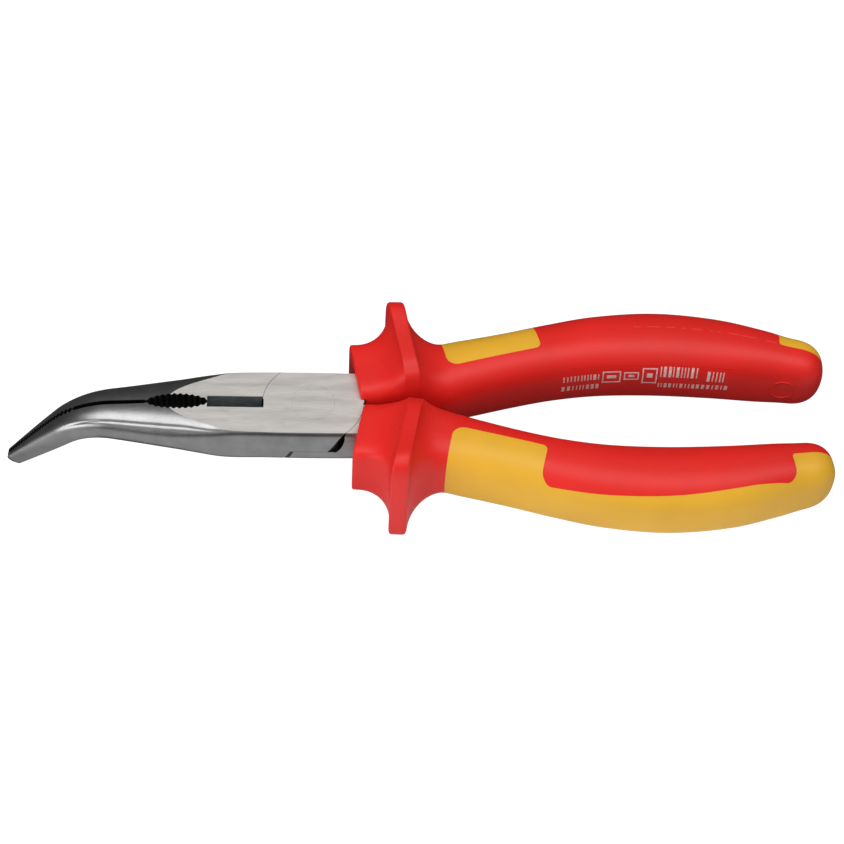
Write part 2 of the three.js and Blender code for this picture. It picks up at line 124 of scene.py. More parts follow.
# Outer surface of the upper grip: place, Y of the centre line, half width, half depth, corner
# exponents outside and inside, tilt of the section in degrees.
GRIP = [
    (10.5, 8.9, 8.4, 7.8, 8, 5, 10.2),
    (16, 9.2, 8.5, 8.0, 7, 4.5, 10.3),
    (22.9, 9.7, 8.5, 8.2, 5, 3, 10.4),
    (31, 10.4, 8.5, 8.8, 3, 2.8, 10.8),
    (36.8, 12, 8.4, 9.1, 2.6, 2.6, 12.5),
    (47.7, 15, 8.1, 9.3, 2.5, 2.5, 14),
    (58, 17.7, 8.35, 9.3, 2.5, 2.5, 12.5),
    (69.5, 19.9, 8.95, 9.5, 2.5, 2.5, 7.5),
    (84, 20.8, 9.45, 9.6, 2.5, 2.5, 0),
    (98.5, 19.7, 8.9, 9.5, 2.5, 2.5, -8),
    (110, 17.6, 7.5, 9.1, 2.6, 2.6, -9),
    (117, 16.2, 6.6, 8.3, 2.7, 2.7, -7),
    (125.6, 14.8, 6.3, 8.0, 2.7, 2.7, -6),
]
GRIP_FIELDS = ["y", "width", "depth", "outside", "inside", "tilt"]
# The grip closes in along a power curve over its last stretch.
GRIP_END = {"length": 7.6, "power": 2.4}
# The finger guard: a thin crest round the outside with concave flanks to its front and back, and a
# low mound round the inside. One gives way to the other between two cosines of the angle from
# the outside, and squarer adds to the corner exponent at the crest.
GUARD = {
    "x": 22.9, "crest_half": 1.75, "flare": 0.45, "front": 8.6, "back": 8.4, "clear_by": 33.2,
    "outward": 8.2, "deep": 7, "inner_deep": 4.6,
    "mound_ends": -0.4, "crest_begins": 0.5, "squarer": 3,
}
CREST_ROUND = 0.8
MOUTH_ROUND = 0.5
GRIP_STEP = 0.8
GRIP_SIDES = 180

# The window in the red grip through which the yellow sleeve shows, as distances along the grip and
# outwards from its centre line, with the radii of its corners and limits outside the grip.
WINDOW = {
    "start": 32.6, "wing_end": 54.7, "wing": -1.8, "start_corner": 3, "wing_corner": 1.4,
    "inner_corner": 2.6, "tail_corner": 0.8, "past": 24, "beyond": 130, "half_height": 20,
}
# How far out the yellow strip begins, as a share of the grip's half width.
STRIP = [
    (50, 0.88), (58, 0.87), (68, 0.83), (84, 0.745), (101, 0.67), (107, 0.73), (114, 0.85),
    (130, 0.85),
]
# The two grips differ a little: how far each has crept along its tang near the mouth, how far it
# reaches, where its yellow tail begins, and how far out the tail's edge lies. The creep fades away
# between two places.
HANDLES = {
    "upper": {"seat": -0.55, "end": 125.4, "tail_start": 113.6, "tail": 0.6},
    "lower": {"seat": 0.35, "end": 124, "tail_start": 112.6, "tail": -0.8},
}
SEAT_FADE = (30, 50)
COLOUR_GAP = 0.03  # between the red grip and the yellow sleeve where they meet flush
SKIN = 1  # thickness of the red grip
# The body of the sleeve inside the red grip, and how far short of the grip's end it stops.
CORE = {"from": 14.5, "short": 2.3, "sides": 60}
# The raised outline of a mould insert near the grip's end.
WITNESS_DISC = {"x": 115.6, "degrees": 179, "radius": 2.9, "line": 0.16}

# Print on the inner flank, by place along the grip, angle round it and height: rows of upright
# strokes, and open frames with a bar inside. A fine raised line runs above it.
STROKE_ROWS = [
    (59, 68.3, 167, 1.7),
    (58.8, 68, 182, 1.5),
    (84.6, 94.6, 159, 3.0),
    (97.2, 101.2, 164, 3.0),
    (84.4, 102.6, 181, 1.6),
]
FRAMES = [(69.2, 74.1, 168, 3.5), (74.9, 78.9, 167, 2.4), (79.8, 83.8, 166, 4.6)]
STROKE_WIDTHS = (0.3, 0.3, 0.75)
STROKE_GAPS = (0.45, 0.7)
FRAME_BAR = {"inset": 1.2, "height": 0.28}
PRINT_LINE = 0.34
PRINT_PROUD = 0.03
PRINT_SUNK = 0.2
BAR_STEPS = {"length": 1.2, "degrees": 3}
PAD_LINE = {"from": 61.5, "to": 105, "degrees": 147, "height": 0.2, "proud": 0.05}
# The broken line of flash, with the range of its pieces' lengths and of the gaps between them.
FLASH = {
    "from": 78, "to": 112, "degrees": 87, "height": 0.1,
    "lengths": (0.5, 3.5), "gaps": (0.4, 2.5),
}

# Each handle's steel core: place, Y of the centre line, half width, half depth.
TANG = [
    (5, 5.8, 4.1, 4.6),
    (14, 6.1, 4.1, 4.5),
    (24, 8.2, 3.9, 4.2),
    (36.8, 11.9, 3.6, 3.8),
    (55, 17.1, 3.3, 3.3),
    (76, 20.5, 3.1, 3.0),
    (95, 20.1, 2.9, 2.8),
    (108, 18.0, 2.5, 2.6),
]
TANG_CORNER = 4
TANG_SIDES = 48
TANG_STEP = 3
STEEL_CLEARANCE = 0.3
# The handle's root: where it leaves the joint and meets the grip, and its inner and outer sides.
SHANK = {"from": 12.2, "end": 17, "inner": 1.7, "outer": 9.9}

# Where faces of a steel half count as part of its joint or of its jaw when a finish is chosen.
JOINT_ROOM = {"radius": 13, "side": 9.3, "lap": 2}
JAW_ROOM = {"overrun": 0.1, "bevel": 2, "teeth": 3.8, "grip_face": 1}

FULL = 60  # reaches past everything
PAST = 1  # how far a cutting tool stands past the face it cuts
ROUND_SIDES = 160
WALL_STEPS = 9
STEEL_SHARP = 28  # edges with a sharper turn than this many degrees aren't shaded smooth
PLASTIC_SHARP = 32

# ---- studio, in metres and degrees ----
CAMERA = {
    "azimuth": 4, "elevation": 51.8, "roll": 3.9, "distance": 0.5, "lens": 88.5, "sensor": 36,
    "aim": (0.02625, -0.00076, 0.00442), "nearest": 0.01,
}
WORLD_GLOW = 0.07
# Soft boxes: name, position, target, width and height, radiance.
LIGHTS = [
    ("overhead", (0.08, -0.06, 0.8), (0.08, -0.0599, 0), (1.6, 0.62), 2.7),
    ("front", (0.0, -0.85, 0.75), (0, 0, 0), (1.6, 0.55), 0.5),
    ("left", (-0.76, -0.57, 0.17), (0, 0, 0), (0.62, 0.36), 4.2),
]
TABLE = {"reach": 3, "below": 0.0005, "colour": 0.1, "glow": 1.05}
# Black glowing sheets on the table that the camera doesn't see: name, limits in X, limits in Y,
# height above the table, glow.
MIRROR_CARDS = [
    ("card", (-0.3, 0.3), (-0.075, -0.012), 0.0002, 0.62),
    ("tip_card", (-0.3, -0.055), (-0.012, -0.002), 0.0002, 0.45),
]
FILL = ("fill", (-0.5, 0.5), (-0.7, -0.03), 0.0001, 1.1)


# ---- curves and solids ----

def along(rows, column):
    """A smooth curve through one column of a table, by the place in its first column."""
    table = np.array(rows, float)
    at, value = table[:, 0], table[:, column]
    last = len(at) - 1
    before = np.maximum(np.arange(last + 1) - 1, 0)
    after = np.minimum(np.arange(last + 1) + 1, last)
    slope = (value[after] - value[before]) / (at[after] - at[before])

    def curve(x):
        i = int(np.clip(np.searchsorted(at, x, side="right") - 1, 0, last - 1))
        span = at[i + 1] - at[i]
        t = min(max((x - at[i]) / span, 0), 1)
        u = 1 - t
        ends = value[i] * u * u * (1 + 2 * t) + value[i + 1] * t * t * (3 - 2 * t)
        return ends + span * t * u * (slope[i] * u - slope[i + 1] * t)

    return curve


def spaced(start, end, step):
    """Evenly spaced places from start to end, no further apart than step."""
    return list(np.linspace(start, end, max(2, math.ceil((end - start) / step) + 1)))


def power_of(value, exponent):
    """A power that keeps the sign."""
    return np.sign(value) * np.abs(value) ** exponent


def object_of(points, faces):
    """A closed solid with its faces pointing out."""
    mesh = bpy.data.meshes.new("solid")
    mesh.from_pydata([tuple(map(float, p)) for p in points], [], faces)
    shape = bmesh.new()
    shape.from_mesh(mesh)
    bmesh.ops.recalc_face_normals(shape, faces=shape.faces)
    shape.to_mesh(mesh)
    shape.free()
    solid = bpy.data.objects.new("solid", mesh)
    bpy.context.scene.collection.objects.link(solid)
    return solid


def loft(rings):
    """A closed solid through rings of points, with a fan over each end."""
    rings = np.array(rings)
    stations, sides = rings.shape[:2]
    points = np.concatenate([rings.reshape(-1, 3), rings[[0, -1]].mean(axis=1)])
    first, last, end = stations * sides, stations * sides + 1, (stations - 1) * sides
    faces = []
    for k in range(sides):
        after = (k + 1) % sides
        for start in range(0, end, sides):
            faces.append((start + k, start + after, start + sides + after, start + sides + k))
        faces.append((first, after, k))
        faces.append((last, end + k, end + after))
    return object_of(points, faces)


def prism(outline, low, high):
    """A solid with its outline in XY, from one Z to another."""
    count = len(outline)
    points = [(x, y, z) for z in (low, high) for x, y in outline]
    faces = [tuple(range(count)), tuple(range(count, 2 * count))]
    for k in range(count):
        after = (k + 1) % count
        faces.append((k, after, count + after, count + k))
    return object_of(points, faces)


def block(x, y, z):
    """A box between pairs of limits."""
    corners = [(x[0], y[0]), (x[1], y[0]), (x[1], y[1]), (x[0], y[1])]
    return prism(corners, z[0], z[1])


def turned(profile):
    """A solid of revolution about Z from (radius, z) pairs that start and end on the axis."""
    top, bottom = profile[0], profile[-1]
    rim = profile[1:-1]
    points = [(0, 0, top[1]), (0, 0, bottom[1])]
    for k in range(ROUND_SIDES):
        angle = 2 * math.pi * k / ROUND_SIDES
        points += [(r * math.cos(angle), r * math.sin(angle), z) for r, z in rim]
    faces = []
    for k in range(ROUND_SIDES):
        here = 2 + k * len(rim)
        there = 2 + (k + 1) % ROUND_SIDES * len(rim)
        faces.append((0, here, there))
        faces.append((1, there + len(rim) - 1, here + len(rim) - 1))
        for j in range(len(rim) - 1):
            faces.append((here + j, here + j + 1, there + j + 1, there + j))
    return object_of(points, faces)


def boolean(solid, tool, operation):
    """Changes the first solid by the second, which is used up."""
    modifier = solid.modifiers.new("cut", "BOOLEAN")
    modifier.operation = operation
    modifier.solver = "MANIFOLD"
    modifier.object = tool
    graph = bpy.context.evaluated_depsgraph_get()
    mesh = bpy.data.meshes.new_from_object(solid.evaluated_get(graph))
    solid.modifiers.clear()
    solid.data = mesh
    bpy.data.objects.remove(tool)
    return solid


def cut(solid, *tools):
    for tool in tools:
        boolean(solid, tool, "DIFFERENCE")
    return solid


def join(solid, *tools):
    for tool in tools:
        boolean(solid, tool, "UNION")
    return solid


def common(solid, tool):
    return boolean(solid, tool, "INTERSECT")


def copy_of(solid):
    twin = solid.copy()
    twin.data = solid.data.copy()
    bpy.context.scene.collection.objects.link(twin)
    return twin


# ---- steel ----

def crease_depth(s, angle_up):
    """How deep the die crease is at this place and this angle up from the side of the nose."""
    share = min(max((s - CREASE["from"]) / (CREASE["settled"] - CREASE["from"]), 0), 1)
    centre = CREASE["start_angle"] + share * (CREASE["angle"] - CREASE["start_angle"])
    fade = share * min(max((CREASE["to"] - s) / CREASE["fades_over"], 0), 1)
    return CREASE["depth"] * fade * np.exp(-((angle_up - centre) / CREASE["half_angle"]) ** 2)


def head_angles():
    """Ring angles in degrees, closest together where the die crease runs."""
    quarter = np.array([*np.arange(0, 36, 2.4), *np.arange(36, 60, 0.8), *np.arange(60, 90, 2)])
    return np.concatenate([quarter, 180 - quarter[::-1], 180 + quarter, 360 - quarter[:0:-1]])


def head_envelope(rear_side):
    """Closed head and nose before bending, both halves together, rounder towards rear_side."""
    width, depth, corner = (along(HEAD, column) for column in (1, 2, 3))
    tip = NOSE["tip"]
    degrees = head_angles()
    up = np.abs((degrees + 90) % 180 - 90)
    cosine, sine = np.cos(np.radians(degrees)), np.sin(np.radians(degrees))
    head = spaced(HEAD[0][0], HEAD_STEPS["coarse_to"], HEAD_STEPS["coarse"])
    nose = spaced(HEAD_STEPS["fine_from"], tip - TIP_CHAMFER["length"], HEAD_STEPS["fine"])
    rings = []
    for s in [*head, *nose, tip]:
        chamfer = TIP_CHAMFER["depth"] if s == tip else 0
        along_head = (REAR_EDGE["fades_by"] - s) / (REAR_EDGE["fades_by"] - REAR_EDGE["full_to"])
        rear = np.where(sine * rear_side > 0, min(max(along_head, 0), 1), 0)
        power = 2 / (corner(s) + rear * (REAR_EDGE["corner"] - corner(s)))
        height = depth(s) + rear * (REAR_EDGE["depth"] - depth(s)) - chamfer
        y = power_of(cosine, power) * (width(s) - chamfer)
        z = power_of(sine, power) * height
        shrink = 1 - crease_depth(s, up) / np.hypot(y, z)
        rings.append(np.column_stack([np.full(len(y), -s), y * shrink, z * shrink]))
    return common(loft(rings), block((-2 * FULL, FULL), (-FULL, FULL), (-FACE, FACE)))


def grip_profile():
    """The lower jaw's gripping face as (s, y) points."""
    flat = -PARTING_GAP / 2
    points = [(0, flat), (CUTTER["to"], flat)]
    centre, half_length = PIPE_GRIP["centre"], PIPE_GRIP["half_length"]
    pitch = 2 * half_length / PIPE_GRIP["teeth"]
    for i in range(2 * PIPE_GRIP["teeth"] + 1):
        s = centre - half_length + i * pitch / 2
        share = math.sqrt(max(0, 1 - ((s - centre) / (half_length * PIPE_GRIP["stretch"])) ** 2))
        crest = PIPE_GRIP["depth"] if i % 2 == 0 else 0
        points.append((s, -max(PIPE_GRIP["half_height"] * share - crest, PARTING_GAP)))
    relief_end = FINE_TEETH["from"] - FINE_TEETH["pitch"] / 2
    for s in spaced(centre + half_length + RELIEF_STEP, relief_end, RELIEF_STEP):
        points.append((s, flat - NOSE_RELIEF))
    s = FINE_TEETH["from"]
    while s < NOSE["tip"] + FINE_TEETH["pitch"]:
        points.append((s, flat))
        points.append((s + FINE_TEETH["pitch"] / 2, flat - FINE_TEETH["depth"]))
        s += FINE_TEETH["pitch"]
    return points


def cutter_bevel(side):
    """The V cut on one face that leaves a cutting edge in the middle of the jaw."""
    reach = FACE + 2 * PAST
    rise = CUTTER["half_width"] / FACE * reach
    section = [(PAST, 0), (-PARTING_GAP / 2, 0), (-rise, side * reach), (PAST, side * reach)]
    ends = (-CUTTER["to"], -CUTTER["from"])
    points = [(x, y, z) for x in ends for y, z in section]
    faces = [(0, 1, 2, 3), (4, 5, 6, 7), (0, 1, 5, 4), (1, 2, 6, 5), (2, 3, 7, 6), (3, 0, 4, 7)]
    return object_of(points, faces)


def boss(size, lap):
    """The round boss in the upper layer, narrowing below its ground face."""
    rise = (size["face"] - size["lap"]) / (FACE - lap) * PAST
    top = FACE + PAST
    return turned([(0, lap), (size["lap"], lap), (size["face"] + rise, top), (0, top)])


def pocket(size, lap):
    """The round opening in the lower layer for the other half's boss, with a hollowed wall."""
    wall = []
    for t in np.linspace(0, 1, WALL_STEPS):
        radius = size["pocket_lap"] + (size["pocket_face"] - size["pocket_lap"]) * t
        wall.append((radius + size["bulge"] * t * (1 - t), lap - (FACE + lap) * t))
    bottom = -FACE - PAST
    return turned([(0, lap), *wall, (size["pocket_face"], bottom), (0, bottom)])


def tang(extra):
    """The steel core of the upper handle, larger all round by extra."""
    y, width, depth = (along(TANG, column) for column in (1, 2, 3))
    angles = np.linspace(0, 2 * math.pi, TANG_SIDES, endpoint=False)
    rings = []
    for x in spaced(TANG[0][0] - extra, TANG[-1][0] + extra, TANG_STEP):
        across = power_of(np.cos(angles), 2 / TANG_CORNER) * (width(x) + extra)
        high = power_of(np.sin(angles), 2 / TANG_CORNER) * (depth(x) + extra)
        rings.append(np.column_stack([np.full(len(angles), x), y(x) + across, high]))
    return loft(rings)


def rivet_profile(extra, end):
    """The rivet, or its boring where extra is a clearance: countersunk at each ground face."""
    slant = (RIVET["head_radius"] - RIVET["shank_radius"]) / (FACE - RIVET["shank_half"])
    rim = RIVET["head_radius"] + extra + slant * (end - FACE)
    shank, half = RIVET["shank_radius"] + extra, RIVET["shank_half"]
    return [(0, -end), (rim, -end), (shank, -half), (shank, half), (rim, end), (0, end)]


def shank():
    """The side of the parting plane that the upper handle takes up, set back past the joint."""
    inner = block((0, SHANK["from"]), (PARTING_GAP / 2, FULL), (-FULL, FULL))
    outer = block((SHANK["from"] - PAST, FULL * 2), (SHANK["inner"], FULL), (-FULL, FULL))
    return join(inner, outer)


def steel_half(own, other, lap, rear_side):
    """One steel half, straight: lower jaw, round boss in the upper layer, upper handle's tang."""
    outline = [(-s, y) for s, y in grip_profile()] + [(-2 * FULL, -FULL), (0, -FULL)]
    kept = join(prism(outline, -FULL, FULL), shank(), boss(own, lap + LAYER_GAP / 2))
    half = join(common(head_envelope(rear_side), kept), common(tang(0), shank()))
    return cut(
        half,
        pocket(other, lap + LAYER_GAP / 2),
        cutter_bevel(1),
        cutter_bevel(-1),
        turned(rivet_profile(RIVET["clearance"], FACE + PAST)),
    )


def steel_materials(half, materials):
    """Chooses each face's finish while the half is still straight.

    The bare limits are cosines, of how squarely a face looks along an axis or away from the pivot.
    """
    half.data.materials.clear()
    for material in materials:
        half.data.materials.append(material)
    ground, forged, bevel, dark = range(4)
    for face in half.data.polygons:
        x, y, z = face.center
        normal = face.normal
        level = abs(normal.z)
        radius = math.hypot(x, y)
        radial = abs(normal.x * x + normal.y * y) / radius
        in_joint = radius < JOINT_ROOM["radius"]
        off_side = abs(y) < JOINT_ROOM["side"] or abs(normal.x) > 0.25
        overrun = JAW_ROOM["overrun"]
        in_cutter = -CUTTER["to"] - overrun < x < -CUTTER["from"] + overrun
        from_oval = abs(-x - PIPE_GRIP["centre"]) - PIPE_GRIP["half_length"]
        in_pipe_grip = from_oval < RELIEF_STEP and -JAW_ROOM["teeth"] < y < 0
        on_grip_face = x < -CUTTER["from"] and y > -JAW_ROOM["grip_face"]
        # Partly blackened steel, partly painted shade: the walls of the pipe grip's oval, the lap
        # faces and walls of the joint and the gripping faces that face +Y take the near-black
        # finish, which paints the deep shade in the gaps and hollows between the halves.
        black_finish_and_painted_shade = (
            in_pipe_grip and level < 0.01
            or in_joint and level > 0.99 and abs(z) < JOINT_ROOM["lap"]
            or in_joint and radial > 0.85 and off_side
            or on_grip_face and normal.y > 0.5
        )
        if level > 0.9999 and abs(abs(z) - FACE) < 0.001:
            face.material_index = ground
        elif in_cutter and abs(y) < JAW_ROOM["bevel"] and level < 0.9:
            face.material_index = bevel
        elif black_finish_and_painted_shade:
            face.material_index = dark
        else:
            face.material_index = forged


def bend(solid, direction):
    """Bends the nose of a straight half about an axis along Y, up (1) or down (-1)."""
    start, turn, most = NOSE["bend_start"], NOSE["bend_radius"], NOSE["bend_angle"]
    for vertex in solid.data.vertices:
        s = -vertex.co.x
        if s <= start:
            continue
        angle = min((s - start) / turn, most)
        beyond = s - start - angle * turn
        radius = turn - direction * vertex.co.z
        rise = turn - radius * math.cos(angle) + beyond * math.sin(angle)
        vertex.co.x = -start - radius * math.sin(angle) - beyond * math.cos(angle)
        vertex.co.z = direction * rise


# ---- grips ----

GRIP_CURVES = {name: along(GRIP, column + 1) for column, name in enumerate(GRIP_FIELDS)}


def guard_flank(x):
    """How far down a flank of the finger guard this place is, 0 at the crest's edge to 1."""
    reach = GUARD["front"] if x < GUARD["x"] else GUARD["back"]
    return min(max((abs(x - GUARD["x"]) - GUARD["crest_half"]) / reach, 0), 1)


def guard_share(x):
    """How far the finger guard stands out at this distance along the grip, from 0 to 1."""
    into_crest = GUARD["crest_half"] - abs(x - GUARD["x"])
    if into_crest >= CREST_ROUND:
        return 1
    if into_crest >= 0:
        drop = 1 - math.sqrt(1 - (1 - into_crest / CREST_ROUND) ** 2)
        return 1 - drop * CREST_ROUND / GUARD["outward"]
    t = guard_flank(x)
    return (1 - math.sqrt(1 - (1 - t) ** 2)) * (1 - CREST_ROUND / GUARD["outward"])


def mouth_inset(x):
    """How far the edge of the grip's mouth is rounded back."""
    t = min(max((x - GRIP[0][0]) / MOUTH_ROUND, 0), 1)
    return MOUTH_ROUND * (1 - math.sqrt(1 - (1 - t) ** 2))


def seat_share(x):
    """How much of the creep along the tang is left at this distance along the grip."""
    t = min(max((x - SEAT_FADE[0]) / (SEAT_FADE[1] - SEAT_FADE[0]), 0), 1)
    return 1 - t * t * (3 - 2 * t)


def end_rounding(x, end):
    """Share of the section that is left at this distance along the rounded end, never nothing."""
    share = min(max((x - end) / GRIP_END["length"] + 1, 0), 0.999)
    return (1 - share ** GRIP_END["power"]) ** (1 / GRIP_END["power"])


def grip_stations(start, end):
    """Places along the grip, closest together where it curves fastest."""
    fine = np.linspace(0, 1, 26) ** 2.2
    crest = GUARD["crest_half"]
    rounding = crest - CREST_ROUND * (1 - np.linspace(0, 1, 7) ** 0.5)
    places = [
        *(GRIP[0][0] + MOUTH_ROUND * np.linspace(0, 1, 7) ** 2),
        *(GUARD["x"] - crest - fine * GUARD["front"]),
        *(GUARD["x"] - rounding),
        *(GUARD["x"] + rounding),
        *(GUARD["x"] + crest + fine * GUARD["back"]),
        *spaced(GUARD["clear_by"], end - GRIP_END["length"] - 0.5, GRIP_STEP),
        *(end - GRIP_END["length"] * np.linspace(1, 0.02, 30) ** 2),
    ]
    return [start, *sorted(x for x in places if start + 0.01 < x < end - 0.01), end]


def grip_ring(x, inset, angles, handle):
    """One section of the outer surface of this handle's grip, moved in by inset."""
    c = {name: curve(x) for name, curve in GRIP_CURVES.items()}
    guard = 0 if inset > 0 else guard_share(x)
    rounding = end_rounding(x, handle["end"] - max(inset, 0))
    inset = inset + mouth_inset(x)
    cosine = np.cos(angles)
    fold = GUARD["crest_begins"] - GUARD["mound_ends"]
    outer = np.clip((cosine - GUARD["mound_ends"]) / fold, 0, 1)
    outer = outer * outer * (3 - 2 * outer)
    mound = 0 if inset > 0 else GUARD["inner_deep"] * (1 - guard_flank(x)) ** 2
    guard_depth = outer * guard * GUARD["deep"] + (1 - outer) * mound
    outward = (c["width"] + guard * GUARD["outward"]) * rounding - inset
    inward = c["width"] * rounding - inset
    deep = (c["depth"] + guard_depth) * rounding - inset
    share = (1 + cosine) / 2
    exponent = c["inside"] * (1 - share) + (c["outside"] + guard * GUARD["squarer"]) * share
    across = power_of(cosine, 2 / exponent) * np.where(cosine > 0, outward, inward)
    high = power_of(np.sin(angles), 2 / exponent) * deep
    tilt = math.radians(c["tilt"])
    flare = math.copysign(GUARD["flare"] * guard, x - GUARD["x"]) * np.maximum(cosine, 0)
    place = x + flare + handle["seat"] * seat_share(x)
    return np.column_stack(
        [place - across * math.sin(tilt), c["y"] + across * math.cos(tilt), high]
    )


def grip_solid(inset, start, end, sides, handle):
    """The whole grip, or a smaller body inside it where inset is more than nothing."""
    angles = np.linspace(0, 2 * math.pi, sides, endpoint=False)
    return loft([grip_ring(x, inset, angles, handle) for x in grip_stations(start, end)])


def from_centre(x, offset):
    """A point at this X of the grip's centre line and this distance outwards from it."""
    tilt = math.radians(GRIP_CURVES["tilt"](x))
    return x - offset * math.sin(tilt), GRIP_CURVES["y"](x) + offset * math.cos(tilt)


def corner_arc(x, y, radius, start, end):
    """A rounded corner of an outline, turning from one direction in degrees to another."""
    angles = np.radians(np.linspace(start, end, 12))
    return [(x + radius * math.cos(a), y + radius * math.sin(a)) for a in angles]


def window(extra, handle):
    """The yellow window seen along Z, larger all round by extra."""
    start, wing_end = WINDOW["start"] + handle["seat"] - extra, WINDOW["wing_end"] + extra
    tail = handle["tail_start"] - extra
    past, beyond = WINDOW["past"], WINDOW["beyond"]
    low, tail_low = WINDOW["wing"] - extra, handle["tail"] - extra
    first, second = WINDOW["start_corner"] + extra, WINDOW["wing_corner"] + extra
    inner, last = WINDOW["inner_corner"] - extra, WINDOW["tail_corner"] + extra
    share = along(STRIP, 1)

    def strip(x):
        return share(x) * GRIP_CURVES["width"](x) - extra

    outline = [
        (start, past),
        *corner_arc(start + first, low + first, first, 180, 270),
        *((x, low) for x in spaced(start + first + 1, wing_end - second - 1, 2)),
        *corner_arc(wing_end - second, low + second, second, 270, 360),
        *corner_arc(wing_end + inner, strip(wing_end + inner) - inner, inner, 180, 90),
        *((x, strip(x)) for x in spaced(wing_end + inner + 1, tail - inner - 1, 1)),
        *corner_arc(tail - inner, strip(tail - inner) - inner, inner, 90, 0),
        *corner_arc(tail + last, tail_low + last, last, 180, 270),
        *((x, tail_low) for x in spaced(tail + last + 1, beyond, 1)),
        (beyond, past),
        *((x, past) for x in spaced(start + 2, beyond - 2, 2)[::-1]),
    ]
    placed = [from_centre(x, offset) for x, offset in outline]
    return prism(placed, -WINDOW["half_height"], WINDOW["half_height"])


def steel_room():
    """Room for the steel inside a grip: the tang, its root, and both turning bosses."""
    gap = STEEL_CLEARANCE
    high = FACE + gap
    across = (SHANK["inner"] - gap, SHANK["outer"] + gap)
    root = block((0, SHANK["end"] + gap), across, (-high, high))
    radius = FRONT_BOSS["face"] + 2 * gap
    bosses = turned([(0, -high), (radius, -high), (radius, high), (0, high)])
    return join(tang(gap), root, bosses)


def torus(centre, normal, radius, line):
    """A ring whose section is a small circle."""
    rings = 96
    sides = 8
    side = normal.orthogonal().normalized()
    other = normal.cross(side)
    points = []
    for i in range(rings):
        a = 2 * math.pi * i / rings
        out = side * math.cos(a) + other * math.sin(a)
        for k in range(sides):
            b = 2 * math.pi * k / sides
            reach = radius + line * math.cos(b)
            points.append(centre + out * reach + normal * line * math.sin(b))
    faces = []
    for i in range(rings):
        for k in range(sides):
            a, b = i * sides, (i + 1) % rings * sides
            faces.append((a + k, b + k, b + (k + 1) % sides, a + (k + 1) % sides))
    return object_of(points, faces)


def skin(x, degrees, proud=0.0):
    """A point on the upper grip, by its place along it and its angle round from the outside."""
    return Vector(grip_ring(x, -proud, np.radians([degrees]), HANDLES["upper"])[0])


def skin_normal(x, degrees):
    """The direction that the upper grip's surface faces at this place."""
    step = 0.2
    lengthwise = skin(x + step, degrees) - skin(x - step, degrees)
    around = skin(x, degrees + 1) - skin(x, degrees - 1)
    return lengthwise.cross(around).normalized()


def witness_ring():
    """The round mark that a mould insert leaves near the end of each grip."""
    place = WITNESS_DISC["x"], WITNESS_DISC["degrees"]
    return torus(skin(*place), skin_normal(*place), WITNESS_DISC["radius"], WITNESS_DISC["line"])


def bar_on_grip(start, end, degrees, height, proud=PRINT_PROUD):
    """A thin bar that follows the upper grip's surface, its height measured round the grip."""
    middle = (start + end) / 2
    per_degree = (skin(middle, degrees + 1) - skin(middle, degrees - 1)).length / 2
    half = height / 2 / per_degree
    top = [(turn, proud) for turn in spaced(-half, half, BAR_STEPS["degrees"])]
    corners = [(-half, -PRINT_SUNK), *top, (half, -PRINT_SUNK)]
    places = spaced(start, end, BAR_STEPS["length"])
    return loft([[skin(x, degrees + turn, rise) for turn, rise in corners] for x in places])


def frame_on_grip(start, end, degrees, height):
    """An open frame of four lines with a bar in the middle."""
    per_degree = (skin(start, degrees + 1) - skin(start, degrees - 1)).length / 2
    edge = (height - PRINT_LINE) / 2 / per_degree
    inner = (start + FRAME_BAR["inset"], end - FRAME_BAR["inset"])
    return [
        bar_on_grip(start, end, degrees - edge, PRINT_LINE),
        bar_on_grip(start, end, degrees + edge, PRINT_LINE),
        bar_on_grip(start, start + PRINT_LINE, degrees, height),
        bar_on_grip(end - PRINT_LINE, end, degrees, height),
        bar_on_grip(*inner, degrees, height * FRAME_BAR["height"]),
    ]


def printed_marks():
    """Plain strokes and frames in place of print."""
    random.seed(7)
    bars = []
    for start, end, degrees, height in STROKE_ROWS:
        x = start
        while x < end:
            width = random.choice(STROKE_WIDTHS)
            bars.append(bar_on_grip(x, x + width, degrees, height))
            x += width + random.uniform(*STROKE_GAPS)
    for frame_place in FRAMES:
        bars += frame_on_grip(*frame_place)
    return merged(bars)


def flash_line():
    """The broken raised line of flash that the mould leaves along the front of the upper grip; its
    paler plastic is a painted highlight.
    """
    random.seed(11)
    bars = []
    x = FLASH["from"]
    while x < FLASH["to"]:
        length = random.uniform(*FLASH["lengths"])
        bars.append(bar_on_grip(x, x + length, FLASH["degrees"], FLASH["height"]))
        x += length + random.uniform(*FLASH["gaps"])
    return merged(bars)


def merged(solids):
    """One object made of separate solids that don't need to be fused."""
    shape = bmesh.new()
    for solid in solids:
        shape.from_mesh(solid.data)
        bpy.data.objects.remove(solid)
    mesh = bpy.data.meshes.new("marks")
    shape.to_mesh(mesh)
    shape.free()
    marks = bpy.data.objects.new("marks", mesh)
    bpy.context.scene.collection.objects.link(marks)
    return marks


def grip_pieces(handle):
    """The red grip and the yellow sleeve that shows through it."""
    room = steel_room()
    end = handle["end"]
    outer = grip_solid(0, GRIP[0][0], end, GRIP_SIDES, handle)
    pad_line = (PAD_LINE[key] for key in ("from", "to", "degrees", "height", "proud"))
    join(outer, witness_ring(), bar_on_grip(*pad_line))
    shell = copy_of(outer)
    start, stop, sides = CORE["from"], end - CORE["short"], CORE["sides"]
    gap = COLOUR_GAP
    hollow = grip_solid(SKIN - gap, start - gap, stop + gap, sides, handle)
    cut(shell, hollow, window(gap, handle), copy_of(room))
    core = common(outer, window(0, handle))
    join(core, grip_solid(SKIN, start, stop, sides, handle))
    cut(core, room)
    return shell, core


# ---- materials ----

